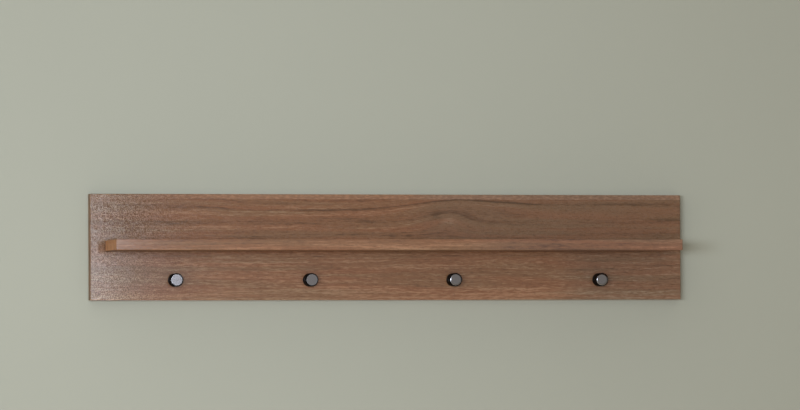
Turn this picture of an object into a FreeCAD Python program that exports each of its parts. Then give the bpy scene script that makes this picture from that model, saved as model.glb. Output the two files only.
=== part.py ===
import FreeCAD, Part
import math
import os

# Wall shelf: a backboard that hangs flat on the wall, one ledge and a row of four metal pegs.
# Millimetres. X runs along the length to the right, Y into the wall, Z up.
# The origin is the centre of the backboard's back face, so the wall is the plane where Y is zero.

# Backboard
board_length = 1000.0
board_height = 174.0
board_thickness = 18.0
board_arris = 0.8

# Ledge, with its middle a little above the backboard's middle
ledge_rise = 2.0
ledge_end_inset = 25.0
ledge_depth = 100.0
ledge_thickness = 18.0
ledge_arris = 0.8

# Pegs
peg_diameter = 22.0
peg_length = 22.0
peg_edge_radius = 2.0
peg_height_above_bottom_edge = 33.0
peg_place_shares = (0.1394, 0.3649, 0.6078, 0.8580)

# Machine screw and washer behind each peg
peg_screw_diameter = 6.0
peg_screw_engagement = 11.5
peg_screw_point = 0.8
peg_screw_head_diameter = 10.5
peg_screw_head_height = 3.3
peg_screw_head_rim = 0.9
peg_screw_head_crown_radius = 3.4
peg_screw_socket_flats = 4.0
peg_screw_socket_depth = 2.0
peg_washer_diameter = 16.0
peg_washer_thickness = 1.5
peg_head_sink = 1.2

# Dowels between the ledge and the backboard
dowel_diameter = 8.0
dowel_in_board = 9.0
dowel_in_ledge = 19.0
dowel_bevel = 0.9
dowel_place_shares = (0.04, 0.27, 0.5, 0.73, 0.96)

# Wood screws that pull the ledge tight
ledge_screw_diameter = 4.0
ledge_screw_bite = 32.0
ledge_screw_point = 5.0
ledge_screw_head_diameter = 8.0
ledge_screw_head_rim = 0.4
ledge_screw_head_sink = 0.4
ledge_screw_cross_span = 4.6
ledge_screw_cross_width = 1.1
ledge_screw_cross_depth = 1.6
ledge_screw_place_shares = (0.1, 0.385, 0.615, 0.9)

# Keyhole hanger plates, let into the back near both ends
plate_length = 52.0
plate_width = 18.0
plate_thickness = 2.0
plate_sink = 0.2
plate_inset_from_end = 100.0
plate_drop_from_top_edge = 36.0
plate_screw_end_margin = 6.0
keyhole_entry_diameter = 11.0
keyhole_slot_width = 6.0
keyhole_travel = 10.0
head_room_width = 14.0
head_room_depth = 6.0
head_room_margin = 1.5

# Small countersunk screws of the plates
plate_screw_diameter = 3.5
plate_screw_bite = 10.0
plate_screw_point = 3.0
plate_screw_head_diameter = 6.6
plate_screw_cross_span = 3.6
plate_screw_cross_width = 0.9
plate_screw_cross_depth = 1.1
plate_screw_head_rim = 0.2

# Clearances
pin_clearance = 0.1
shank_clearance = 0.3
washer_clearance = 0.3
let_in_clearance = 0.15
blind_end_clearance = 1.0
cut_overrun = 1.0

V = FreeCAD.Vector
CENTRE = V(0, 0, 0)
TO_WALL = V(0, 1, 0)
TO_FRONT = V(0, -1, 0)
QUARTER_TURN = math.pi / 2

board_front = -board_thickness
board_left = -board_length / 2
board_bottom = -board_height / 2
board_top = board_height / 2
ledge_length = board_length - 2 * ledge_end_inset
ledge_left = -ledge_length / 2

counterbore_depth = peg_washer_thickness + peg_screw_head_height + peg_head_sink
peg_screw_length = peg_washer_thickness + board_thickness - counterbore_depth + peg_screw_engagement
ledge_screw_length = board_thickness - ledge_screw_head_sink + ledge_screw_bite
plate_screw_length = plate_thickness + plate_screw_bite
plate_back = -plate_sink
plate_seat = plate_back - plate_thickness
plate_screw_rise = plate_length / 2 - plate_screw_end_margin
keyhole_entry_drop = keyhole_travel / 2

# Places on the boards, as X and Z; the shares count from the left end
peg_z = board_bottom + peg_height_above_bottom_edge
peg_places = [(board_left + share * board_length, peg_z) for share in peg_place_shares]
dowel_places = [(ledge_left + share * ledge_length, ledge_rise) for share in dowel_place_shares]
ledge_screw_places = [(ledge_left + share * ledge_length, ledge_rise) for share in ledge_screw_place_shares]
plate_x = board_left + plate_inset_from_end
plate_z = board_top - plate_drop_from_top_edge
plate_places = [(plate_x, plate_z), (-plate_x, plate_z)]


def forward_cylinder(radius, length, x, y, z):
    """A cylinder that starts at the given point and runs towards the front."""
    return Part.makeCylinder(radius, length, V(x, y, z), TO_FRONT)


def turned(profile):
    """Turns a closed profile of (radius, y) points and arcs about the Y axis.

    A profile item is a point, or a pair of points: the middle and the end of an arc.
    """
    edges = []
    here = V(profile[0][0], profile[0][1], 0)
    for item in profile[1:] + profile[:1]:
        if isinstance(item[0], tuple):
            middle = V(item[0][0], item[0][1], 0)
            end = V(item[1][0], item[1][1], 0)
            edges.append(Part.Arc(here, middle, end).toShape())
        else:
            end = V(item[0], item[1], 0)
            edges.append(Part.makeLine(here, end))
        here = end
    return Part.Face(Part.Wire(edges)).revolve(CENTRE, TO_WALL, 360)


def prism_to_front(edges, depth):
    """Extrudes a flat outline, drawn where Y is zero, towards the front."""
    return Part.Face(Part.Wire(edges)).extrude(TO_FRONT * depth)


def obround(length, width, depth):
    """A slot-shaped block: two straight sides joined by half circles, long way up."""
    half_width = width / 2
    straight = length / 2 - half_width
    corners = [V(half_width, 0, -straight), V(half_width, 0, straight),
               V(-half_width, 0, straight), V(-half_width, 0, -straight)]
    return prism_to_front([
        Part.makeLine(corners[0], corners[1]),
        Part.Arc(corners[1], V(0, 0, length / 2), corners[2]).toShape(),
        Part.makeLine(corners[2], corners[3]),
        Part.Arc(corners[3], V(0, 0, -length / 2), corners[0]).toShape()], depth)


def cross_recess(span, width, depth):
    """The cross-shaped driver recess of a screw head, sunk forward from where Y is zero."""
    reach = span / 2
    half_width = width / 2
    arm = [(reach, -half_width), (reach, half_width), (half_width, half_width)]
    points = []
    for quarter in range(4):
        turn_cos = math.cos(quarter * QUARTER_TURN)
        turn_sin = math.sin(quarter * QUARTER_TURN)
        points += [V(x * turn_cos - z * turn_sin, 0, x * turn_sin + z * turn_cos) for x, z in arm]
    edges = [Part.makeLine(a, b) for a, b in zip(points, points[1:] + points[:1])]
    return prism_to_front(edges, depth)


def hexagon_socket(flats, depth):
    """A six-sided driver socket, sunk forward from where Y is zero."""
    corner = flats / math.sqrt(3)
    points = [V(corner * math.cos(math.radians(60 * k)), 0, corner * math.sin(math.radians(60 * k)))
              for k in range(6)]
    edges = [Part.makeLine(a, b) for a, b in zip(points, points[1:] + points[:1])]
    return prism_to_front(edges, depth)


def countersunk_screw(diameter, length, point, head_diameter, head_rim, span, width, recess_depth):
    """A countersunk wood screw with its flat head where Y is zero and its point to the front."""
    radius = diameter / 2
    head_radius = head_diameter / 2
    cone = head_radius - radius
    body = turned([(0, 0), (head_radius, 0), (head_radius, -head_rim),
                   (radius, -head_rim - cone), (radius, point - length), (0, -length)])
    return body.cut(cross_recess(span, width, recess_depth))


def countersink(head_diameter, hole_diameter, head_rim, sink, clearance):
    """The cut that seats a countersunk head: its mouth is where Y is zero."""
    mouth = head_diameter / 2 + clearance
    throat = hole_diameter / 2
    shoulder = -sink - head_rim
    return turned([(0, cut_overrun), (mouth, cut_overrun), (mouth, shoulder),
                   (throat, shoulder - mouth + throat), (0, shoulder - mouth + throat)])


def place(shape, x, y, z):
    """A copy of a shape moved to a place."""
    moved = shape.copy()
    moved.translate(V(x, y, z))
    return moved


def make_backboard():
    """The long board, with its stepped bores, dowel holes and the let-in seats of the plates."""
    block = Part.makeBox(board_length, board_thickness, board_height,
                         V(board_left, board_front, board_bottom))
    board = block.makeChamfer(board_arris, block.Edges)
    cuts = []
    for x, z in peg_places:
        counterbore = peg_washer_diameter / 2 + washer_clearance
        shank_hole = peg_screw_diameter / 2 + shank_clearance
        cuts.append(forward_cylinder(counterbore, counterbore_depth + cut_overrun, x, cut_overrun, z))
        cuts.append(forward_cylinder(shank_hole, board_thickness + 2 * cut_overrun, x, cut_overrun, z))
    for x, z in ledge_screw_places:
        shank_hole = ledge_screw_diameter + 2 * shank_clearance
        cuts.append(forward_cylinder(shank_hole / 2, board_thickness + 2 * cut_overrun, x, cut_overrun, z))
        cuts.append(place(countersink(ledge_screw_head_diameter, shank_hole, ledge_screw_head_rim,
                                      ledge_screw_head_sink, pin_clearance), x, 0, z))
    for x, z in dowel_places:
        depth = dowel_in_board + blind_end_clearance
        cuts.append(Part.makeCylinder(dowel_diameter / 2 + pin_clearance, depth + cut_overrun,
                                      V(x, board_front - cut_overrun, z), TO_WALL))
    for x, z in plate_places:
        cuts.append(place(obround(plate_length + 2 * let_in_clearance, plate_width + 2 * let_in_clearance,
                                  cut_overrun - plate_seat), x, cut_overrun, z))
        cuts.append(place(head_room(), x, plate_seat + cut_overrun, z))
        for side in (-1, 1):
            cuts.append(forward_cylinder(plate_screw_diameter / 2 + pin_clearance,
                                         plate_screw_bite + blind_end_clearance + cut_overrun,
                                         x, plate_seat + cut_overrun, z + side * plate_screw_rise))
    return board.cut(cuts)


def head_room():
    """The deeper pocket behind a plate, in which the head of the wall's screw moves."""
    length = keyhole_travel + keyhole_entry_diameter + 2 * head_room_margin
    return obround(length, head_room_width, head_room_depth + cut_overrun)


def make_ledge():
    """The ledge, sharp only where it meets the backboard, with its dowel and screw holes."""
    block = Part.makeBox(ledge_length, ledge_depth, ledge_thickness,
                         V(ledge_left, board_front - ledge_depth, ledge_rise - ledge_thickness / 2))
    free_edges = [edge for edge in block.Edges
                  if min(vertex.Y for vertex in edge.Vertexes) < board_front - ledge_depth / 2]
    ledge = block.makeChamfer(ledge_arris, free_edges)
    cuts = []
    for x, z in dowel_places:
        cuts.append(forward_cylinder(dowel_diameter / 2 + pin_clearance,
                                     dowel_in_ledge + blind_end_clearance + cut_overrun,
                                     x, board_front + cut_overrun, z))
    for x, z in ledge_screw_places:
        cuts.append(forward_cylinder(ledge_screw_diameter / 2 + pin_clearance,
                                     ledge_screw_bite + blind_end_clearance + cut_overrun,
                                     x, board_front + cut_overrun, z))
    return ledge.cut(cuts)


def make_peg():
    """A turned peg whose foot is where Y is zero, with a rounded front edge and a tapped hole."""
    radius = peg_diameter / 2
    shoulder = radius - peg_edge_radius
    arc_reach = peg_edge_radius * math.sin(QUARTER_TURN / 2)
    arc_middle = (shoulder + arc_reach, peg_edge_radius - peg_length - arc_reach)
    body = turned([(0, 0), (radius, 0), (radius, peg_edge_radius - peg_length),
                   (arc_middle, (shoulder, -peg_length)), (0, -peg_length)])
    hole_depth = peg_screw_engagement + blind_end_clearance
    hole_radius = peg_screw_diameter / 2 + pin_clearance
    hole = forward_cylinder(hole_radius, hole_depth + cut_overrun, 0, cut_overrun, 0)
    return body.cut(hole)


def make_peg_screw():
    """A button-head machine screw, seated where Y is zero, with its head towards the wall."""
    radius = peg_screw_diameter / 2
    head_radius = peg_screw_head_diameter / 2
    body = turned([(0, peg_screw_head_height), (peg_screw_head_crown_radius, peg_screw_head_height),
                   (head_radius, peg_screw_head_rim), (head_radius, 0), (radius, 0),
                   (radius, peg_screw_point - peg_screw_length),
                   (radius - peg_screw_point, -peg_screw_length), (0, -peg_screw_length)])
    socket = hexagon_socket(peg_screw_socket_flats, peg_screw_socket_depth)
    return body.cut(place(socket, 0, peg_screw_head_height, 0))


def make_washer():
    """A plain washer whose back face is where Y is zero."""
    inner = peg_screw_diameter / 2 + shank_clearance
    outer = peg_washer_diameter / 2
    return turned([(inner, 0), (outer, 0), (outer, -peg_washer_thickness), (inner, -peg_washer_thickness)])


def make_dowel():
    """A bevelled dowel whose middle, where it crosses the joint, is where Y is zero."""
    radius = dowel_diameter / 2
    return turned([(0, dowel_in_board), (radius - dowel_bevel, dowel_in_board),
                   (radius, dowel_in_board - dowel_bevel), (radius, dowel_bevel - dowel_in_ledge),
                   (radius - dowel_bevel, -dowel_in_ledge), (0, -dowel_in_ledge)])


def make_hanger_plate():
    """A keyhole plate, back face where Y is zero: the wall's screw enters low and slides up the slot."""
    plate = obround(plate_length, plate_width, plate_thickness)
    entry_radius = keyhole_entry_diameter / 2
    half_slot = keyhole_slot_width / 2
    entry_height = -keyhole_entry_drop
    slot_height = entry_height + keyhole_travel
    shoulder = entry_height + math.sqrt(entry_radius ** 2 - half_slot ** 2)
    corners = [V(half_slot, 0, shoulder), V(half_slot, 0, slot_height),
               V(-half_slot, 0, slot_height), V(-half_slot, 0, shoulder)]
    keyhole = prism_to_front([
        Part.makeLine(corners[0], corners[1]),
        Part.Arc(corners[1], V(0, 0, slot_height + half_slot), corners[2]).toShape(),
        Part.makeLine(corners[2], corners[3]),
        Part.Arc(corners[3], V(0, 0, entry_height - entry_radius), corners[0]).toShape()],
        plate_thickness + 2 * cut_overrun)
    cuts = [place(keyhole, 0, cut_overrun, 0)]
    hole = plate_screw_diameter + 2 * pin_clearance
    for side in (-1, 1):
        z = side * plate_screw_rise
        cuts.append(forward_cylinder(hole / 2, plate_thickness + 2 * cut_overrun, 0, cut_overrun, z))
        cuts.append(place(countersink(plate_screw_head_diameter, hole, plate_screw_head_rim,
                                      0, pin_clearance), 0, 0, z))
    return plate.cut(cuts)


def export(name, shape):
    """Writes one piece and says what it is."""
    solid = shape.Solids[0]
    if len(shape.Solids) != 1 or not solid.isValid():
        raise ValueError("not one valid solid: " + name)
    solid.exportStep("parts/" + name + ".step")
    print(name, round(solid.Volume), "mm3")


os.makedirs("parts", exist_ok=True)

export("backboard", make_backboard())
export("ledge", make_ledge())

peg = make_peg()
peg_screw = make_peg_screw()
washer = make_washer()
washer_back = peg_washer_thickness - counterbore_depth
for number, (x, z) in enumerate(peg_places, start=1):
    export(f"peg_{number}", place(peg, x, board_front, z))
    export(f"peg_washer_{number}", place(washer, x, washer_back, z))
    export(f"peg_screw_{number}", place(peg_screw, x, washer_back, z))

dowel = make_dowel()
for number, (x, z) in enumerate(dowel_places, start=1):
    export(f"ledge_dowel_{number}", place(dowel, x, board_front, z))

ledge_screw = countersunk_screw(ledge_screw_diameter, ledge_screw_length, ledge_screw_point,
                                ledge_screw_head_diameter, ledge_screw_head_rim, ledge_screw_cross_span,
                                ledge_screw_cross_width, ledge_screw_cross_depth)
for number, (x, z) in enumerate(ledge_screw_places, start=1):
    export(f"ledge_screw_{number}", place(ledge_screw, x, -ledge_screw_head_sink, z))

hanger_plate = make_hanger_plate()
plate_screw = countersunk_screw(plate_screw_diameter, plate_screw_length, plate_screw_point,
                                plate_screw_head_diameter, plate_screw_head_rim, plate_screw_cross_span,
                                plate_screw_cross_width, plate_screw_cross_depth)
for hand, (x, z) in zip(("left", "right"), plate_places):
    export(f"hanger_plate_{hand}", place(hanger_plate, x, plate_back, z))
    for level, side in (("upper", 1), ("lower", -1)):
        export(f"hanger_screw_{hand}_{level}", place(plate_screw, x, plate_back, z + side * plate_screw_rise))
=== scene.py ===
# %% [markdown]
# # A wall shelf with four pegs
# This file dresses a finished construction model in Blender: it gives every piece its finish,
# adds the fine pieces that the construction leaves out, and sets up the picture.
# The construction is loaded first, as a fixed frame. All lengths are metres, with X along the
# shelf to the right, Y into the wall and Z up, and the wall is the plane where Y is zero.

# %% Load the frame
import math

import bpy
import numpy as np
from mathutils import Matrix, Vector


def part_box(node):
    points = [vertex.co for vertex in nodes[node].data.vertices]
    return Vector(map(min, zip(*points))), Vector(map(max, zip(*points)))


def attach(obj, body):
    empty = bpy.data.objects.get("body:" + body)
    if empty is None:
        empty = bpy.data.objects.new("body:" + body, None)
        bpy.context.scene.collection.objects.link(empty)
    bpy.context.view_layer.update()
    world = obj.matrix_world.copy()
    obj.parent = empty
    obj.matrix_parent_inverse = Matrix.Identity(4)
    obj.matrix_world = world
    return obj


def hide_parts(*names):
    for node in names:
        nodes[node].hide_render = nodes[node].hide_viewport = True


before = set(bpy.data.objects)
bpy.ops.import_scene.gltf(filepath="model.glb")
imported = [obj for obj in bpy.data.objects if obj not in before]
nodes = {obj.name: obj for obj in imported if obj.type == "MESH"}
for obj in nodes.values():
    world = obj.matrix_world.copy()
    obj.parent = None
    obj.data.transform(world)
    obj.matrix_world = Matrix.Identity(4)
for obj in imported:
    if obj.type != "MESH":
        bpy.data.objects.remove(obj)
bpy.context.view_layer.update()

# %% [markdown]
# The boards and pegs were measured once, in the construction. Asking the frame for their boxes
# keeps this file right when a size there changes, so nothing is typed twice.

# %% Sizes read from the frame
MM = 0.001
board_low, board_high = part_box("backboard")
ledge_low, ledge_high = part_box("ledge")
peg_names = sorted(name for name in nodes if name.startswith("peg_") and name[4:].isdigit())
print("board", [round(side, 4) for side in board_high - board_low])
print("ledge", [round(side, 4) for side in ledge_high - ledge_low])
print(len(peg_names), "pegs")

# %% [markdown]
# ## The picture
# The photographer stood well back and to the left, a little below the shelf, with a long lens.
# A long lens keeps the two ends of the board nearly the same height. The camera's three axes
# are worked out from its turn, its tilt and a slight roll, because a matrix says exactly where
# a camera looks, while a tracking constraint would hide the roll.

# %% Camera
CAMERA_PLACE = Vector((-1.9887, -8.6017, -0.2010))
CAMERA_TURN = math.radians(13.161)
CAMERA_TILT = math.radians(1.330)
CAMERA_ROLL = math.radians(-0.286)
LENS_MM = 240.24
SENSOR_MM = 36.0
SHIFT_UP = 0.05
CLIP_END = 60.0


def camera_matrix(place, turn, tilt, roll):
    """A camera's matrix: forward = (sin turn cos tilt, cos turn cos tilt, sin tilt).

    Right is level before the roll, up is right x forward, and the roll mixes the two.
    """
    forward = Vector((math.sin(turn) * math.cos(tilt), math.cos(turn) * math.cos(tilt), math.sin(tilt)))
    level = Vector((math.cos(turn), -math.sin(turn), 0))
    upright = level.cross(forward)
    right = level * math.cos(roll) + upright * math.sin(roll)
    up = upright * math.cos(roll) - level * math.sin(roll)
    return Matrix((
        (right.x, up.x, -forward.x, place.x),
        (right.y, up.y, -forward.y, place.y),
        (right.z, up.z, -forward.z, place.z),
        (0, 0, 0, 1)))


camera_data = bpy.data.cameras.new("camera")
camera_data.lens = LENS_MM
camera_data.sensor_width = SENSOR_MM
camera_data.shift_y = SHIFT_UP
camera_data.clip_end = CLIP_END
camera = bpy.data.objects.new("camera", camera_data)
camera.matrix_world = camera_matrix(CAMERA_PLACE, CAMERA_TURN, CAMERA_TILT, CAMERA_ROLL)
bpy.context.scene.collection.objects.link(camera)
bpy.context.scene.camera = camera
bpy.context.scene.view_settings.view_transform = "Standard"
print("camera", round((CAMERA_PLACE - board_low).length, 2), "m from the board")

# %% [markdown]
# ## Helpers for shader nodes
# A finish in Blender is a graph of small nodes. It could be wired by hand in the editor, but a
# script can repeat it, and its numbers have names. Each helper takes a node tree and sockets or
# plain numbers, adds one or a few nodes, and returns the result, so a formula reads like one.

# %% Node helpers
def add_node(tree, kind, **settings):
    """Adds a node of a kind; each keyword is one of that node's settings."""
    node = tree.nodes.new(kind)
    for name, value in settings.items():
        setattr(node, name, value)
    return node


def join(tree, source, target):
    """Wires one socket to another, or writes a plain value into the target."""
    if isinstance(source, bpy.types.NodeSocket):
        tree.links.new(source, target)
    else:
        target.default_value = source


def maths(tree, operation, *values):
    """One Math node on sockets or numbers."""
    node = add_node(tree, "ShaderNodeMath", operation=operation)
    for value, socket in zip(values, node.inputs):
        join(tree, value, socket)
    return node.outputs[0]


def mix_colour(tree, factor, first, second, blend="MIX"):
    """Blends two colours by a factor."""
    node = add_node(tree, "ShaderNodeMix", data_type="RGBA", blend_type=blend)
    join(tree, factor, node.inputs[0])
    join(tree, first, node.inputs[6])
    join(tree, second, node.inputs[7])
    return node.outputs[2]


print("node helpers ready")

# %% [markdown]
# A new material holds one Principled shader, which is enough for wood, lacquer and metal alike.
# What changes over the surface is wired into its sockets, and what doesn't is written there
# plainly. Noise in object coordinates sits in the object's own space, so it needs no unwrapping.

# %% Material helpers
def new_material(name):
    """An empty material; returns it, its tree, its Principled shader and object coordinates."""
    material = bpy.data.materials.new(name)
    material.use_nodes = True
    tree = material.node_tree
    place = add_node(tree, "ShaderNodeTexCoord").outputs["Object"]
    return material, tree, tree.nodes["Principled BSDF"], place


def set_plain(shader, **values):
    """Writes plain values into a shader's inputs; keywords name them, with _ for a space."""
    for name, value in values.items():
        shader.inputs[name.replace("_", " ")].default_value = value


def noise(tree, vector, detail, roughness=0.5):
    """Noise from 0 to 1 about a half, one feature to each unit of the vector.

    Detail is the number of finer layers on top of it, and roughness says how strong they are.
    """
    node = add_node(tree, "ShaderNodeTexNoise")
    join(tree, vector, node.inputs["Vector"])
    node.inputs["Scale"].default_value = 1.0
    node.inputs["Detail"].default_value = detail
    node.inputs["Roughness"].default_value = roughness
    return node.outputs[0]


print("material helpers ready")

# %% [markdown]
# ## Backdrop and floor
# A shelf that hangs needs a surface behind it: the soft shadow there says that it is mounted.
# The backdrop and the floor are flat sheets that are solid from the front and clear from the
# back, so a camera behind them still sees the shelf's back. Light may pass them too, or the
# lamp that shows the back would be shut out.

# %% Backdrop and floor
BACKDROP_GAP = 0.3 * MM
FLOOR_DROP = 1.25
STAGE_REACH = 14.0
BACKDROP_COLOUR = (0.360, 0.362, 0.297, 1)
FLOOR_COLOUR = (0.62, 0.54, 0.46, 1)
MOTTLE = 0.03
MOTTLE_DETAIL = 3.0


def stage_sheet(name, corners, colour):
    """A flat sheet through four corners, solid only from the side that its normal faces."""
    mesh = bpy.data.meshes.new(name)
    mesh.from_pydata(corners, [], [(0, 1, 2, 3)])
    sheet = bpy.data.objects.new(name, mesh)
    bpy.context.scene.collection.objects.link(sheet)
    material, tree, shader, place = new_material(name)
    set_plain(shader, Roughness=0.9, Specular_IOR_Level=0.1)
    pale = [min(1.0, (1 + MOTTLE) * channel) for channel in colour[:3]] + [1]
    deep = [(1 - MOTTLE) * channel for channel in colour[:3]] + [1]
    mottled = mix_colour(tree, noise(tree, place, MOTTLE_DETAIL), deep, pale)
    join(tree, mottled, shader.inputs["Base Color"])
    clear = add_node(tree, "ShaderNodeBsdfTransparent")
    behind = add_node(tree, "ShaderNodeNewGeometry").outputs["Backfacing"]
    shadow_ray = add_node(tree, "ShaderNodeLightPath").outputs["Is Shadow Ray"]
    either = add_node(tree, "ShaderNodeMixShader")
    join(tree, maths(tree, "MAXIMUM", behind, shadow_ray), either.inputs[0])
    join(tree, shader.outputs[0], either.inputs[1])
    join(tree, clear.outputs[0], either.inputs[2])
    join(tree, either.outputs[0], tree.nodes["Material Output"].inputs["Surface"])
    mesh.materials.append(material)
    return sheet


stage_sheet("backdrop", [
    (-STAGE_REACH, BACKDROP_GAP, -FLOOR_DROP), (STAGE_REACH, BACKDROP_GAP, -FLOOR_DROP),
    (STAGE_REACH, BACKDROP_GAP, STAGE_REACH), (-STAGE_REACH, BACKDROP_GAP, STAGE_REACH)], BACKDROP_COLOUR)
stage_sheet("floor", [
    (-STAGE_REACH, -STAGE_REACH, -FLOOR_DROP), (STAGE_REACH, -STAGE_REACH, -FLOOR_DROP),
    (STAGE_REACH, STAGE_REACH, -FLOOR_DROP), (-STAGE_REACH, STAGE_REACH, -FLOOR_DROP)], FLOOR_COLOUR)
print("backdrop and floor made")

# %% [markdown]
# ## Light
# A long low soft lamp stands in front and to the left, at the shelf's own height, so the ledge
# throws a slim shadow to its right. The lamp's right edge is placed with care: the blurred
# mirror image of that edge falls on the board's left end and on the first peg, which gives them
# their milky shine. A weak lamp far to the left lights the sawn ends, which face that way. A
# last one, no wider than the shelf, stands behind the backdrop and shows the back without
# touching the front.

# %% Lamps
KEY_DISTANCE = 2.5
KEY_LEFT_EDGE = -1.75
KEY_RIGHT_EDGE = -0.103
KEY_HEIGHT = 0.32
KEY_RISE = 0.03
KEY_RADIANCE = 28.2
KEY_COLOUR = (0.89, 0.98, 1.12)
SIDE_PLACE = (-3.2, -0.75, 0.05)
SIDE_SIZE = 1.0
SIDE_RADIANCE = 1.2
SIDE_COLOUR = (1.0, 0.99, 0.97)
BACK_DISTANCE = 2.4
BACK_WIDTH = 0.9
BACK_HEIGHT = 1.2
BACK_RADIANCE = 14.0
BACK_COLOUR = (1.0, 1.0, 1.0)


def soft_lamp(name, place, facing, size, radiance, colour):
    """A rectangle of even light; its power is radiance x pi x area."""
    data = bpy.data.lights.new(name, "AREA")
    data.shape = "RECTANGLE"
    data.size, data.size_y = size
    data.energy = radiance * math.pi * size[0] * size[1]
    data.color = colour
    lamp = bpy.data.objects.new(name, data)
    turn = Vector(facing).to_track_quat("-Z", "Y").to_matrix().to_4x4()
    lamp.matrix_world = Matrix.Translation(place) @ turn
    lamp.visible_camera = False
    bpy.context.scene.collection.objects.link(lamp)
    return lamp


soft_lamp("key_lamp", ((KEY_LEFT_EDGE + KEY_RIGHT_EDGE) / 2, -KEY_DISTANCE, KEY_RISE), (0, 1, 0),
          (KEY_RIGHT_EDGE - KEY_LEFT_EDGE, KEY_HEIGHT), KEY_RADIANCE, KEY_COLOUR)
soft_lamp("side_lamp", SIDE_PLACE, (1, 0, 0), (SIDE_SIZE, SIDE_SIZE), SIDE_RADIANCE, SIDE_COLOUR)
soft_lamp("back_lamp", (0, BACK_DISTANCE, board_high.z - BACK_HEIGHT / 2), (0, -1, 0),
          (BACK_WIDTH, BACK_HEIGHT), BACK_RADIANCE, BACK_COLOUR)
print("three lamps made")

# %% [markdown]
# Light levels and patterns are formulas too. A smooth step and a bell curve are the two shapes
# that most of them are built of: one goes from low to high between two places, and the other
# stands up at one place and fades on both sides. Neither has a corner that the eye could catch.

# %% Steps, bells and blends
def ramp(tree, value, start, end, low=0.0, high=1.0):
    """A smooth step: low before start, high past end."""
    node = add_node(tree, "ShaderNodeMapRange", interpolation_type="SMOOTHSTEP")
    sources = {"Value": value, "From Min": start, "From Max": end, "To Min": low, "To Max": high}
    for name, source in sources.items():
        join(tree, source, node.inputs[name])
    return node.outputs["Result"]


def bell(tree, value, centre, reach):
    """exp(-((value - centre) / reach)^2): 1 at the centre, fading over the reach."""
    ratio = maths(tree, "DIVIDE", maths(tree, "SUBTRACT", value, centre), reach)
    return maths(tree, "EXPONENT", maths(tree, "MULTIPLY", maths(tree, "MULTIPLY", ratio, ratio), -1.0))


def split(tree, vector):
    """The X, Y and Z of a vector."""
    node = add_node(tree, "ShaderNodeSeparateXYZ")
    join(tree, vector, node.inputs[0])
    return node.outputs


def mix_value(tree, factor, first, second):
    """Blends two numbers by a factor."""
    node = add_node(tree, "ShaderNodeMix", data_type="FLOAT")
    join(tree, factor, node.inputs[0])
    join(tree, first, node.inputs[2])
    join(tree, second, node.inputs[3])
    return node.outputs[0]


print("steps, bells and blends ready")

# %% [markdown]
# The rest of the light comes from the world: an even level, more of it from the ceiling, a faint
# band at eye height, and all of it stronger from the left. That keeps the shadow under the ledge
# short and soft. Mirrors see a calmer picture, so that polished metal stays dark except where
# it faces the front. The camera itself sees a pale background.

# %% World
WORLD_COLOUR = (1.03, 1.0, 0.93, 1)
AMBIENT = 0.325
CEILING_GLOW = 0.64
HORIZON_GLOW = 0.19
HORIZON_REACH = 0.20
LEFT_LEAN = 0.90
PALE_FRONT = 0.60
PALE_ELSEWHERE = 0.22
FRONT_FROM = 0.80
FRONT_TO = 0.95
PALE_BACKGROUND = 0.92


def room_light(tree, across, climb):
    """(Ambient + horizon x bell(climb) + ceiling x max(climb, 0)) x (1 - lean x across)."""
    lit = maths(tree, "MULTIPLY_ADD", bell(tree, climb, 0.0, HORIZON_REACH), HORIZON_GLOW, AMBIENT)
    lit = maths(tree, "MULTIPLY_ADD", maths(tree, "MAXIMUM", climb, 0.0), CEILING_GLOW, lit)
    return maths(tree, "MULTIPLY", lit, maths(tree, "MULTIPLY_ADD", across, -LEFT_LEAN, 1.0))


def dress_world():
    """Strength = the background for the camera, the calm picture for mirrors, else room light."""
    world = bpy.data.worlds.new("soft_room")
    bpy.context.scene.world = world
    world.use_nodes = True
    tree = world.node_tree
    background = tree.nodes["Background"]
    across, inward, climb = split(tree, add_node(tree, "ShaderNodeTexCoord").outputs["Generated"])
    toward_front = maths(tree, "MULTIPLY", inward, -1.0)
    mirrored = ramp(tree, toward_front, FRONT_FROM, FRONT_TO, PALE_ELSEWHERE, PALE_FRONT)
    path = add_node(tree, "ShaderNodeLightPath").outputs
    by_mirror = maths(tree, "MAXIMUM", path["Is Glossy Ray"], path["Is Transmission Ray"])
    strength = mix_value(tree, by_mirror, room_light(tree, across, climb), mirrored)
    strength = mix_value(tree, path["Is Camera Ray"], strength, PALE_BACKGROUND)
    join(tree, strength, background.inputs["Strength"])
    background.inputs["Color"].default_value = WORLD_COLOUR
    return world


print("world", dress_world().name, "made")

# %% [markdown]
# ## Walnut
# A node group is a small graph with named inputs and outputs. Several materials can use one
# group, each with its own values, so an effect is made once and mended once. The Principled
# shader stays in the material itself, where a group's colours and masks are wired into it.

# %% Group helpers
FLOAT = "NodeSocketFloat"
COLOUR = "NodeSocketColor"
VECTOR = "NodeSocketVector"


def new_group(name, inputs, outputs):
    """An empty node group with named sockets; returns it with its inside ends."""
    group = bpy.data.node_groups.new(name, "ShaderNodeTree")
    for label, kind, value in inputs:
        socket = group.interface.new_socket(label, in_out="INPUT", socket_type=kind)
        if value is not None:
            socket.default_value = value
    for label, kind in outputs:
        group.interface.new_socket(label, in_out="OUTPUT", socket_type=kind)
    return group, group.nodes.new("NodeGroupInput").outputs, group.nodes.new("NodeGroupOutput").inputs


def use_group(tree, group, **values):
    """Places a group in a tree; keywords are its inputs, with _ for a space."""
    node = add_node(tree, "ShaderNodeGroup", node_tree=group)
    for name, value in values.items():
        join(tree, value, node.inputs[name.replace("_", " ")])
    return node.outputs


print("group helpers ready")

# %% [markdown]
# Most of a natural finish is noise. What makes noise look like wood or brushed metal is how far
# it is stretched, so this helper asks for the number of features to the metre in each direction.

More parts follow.
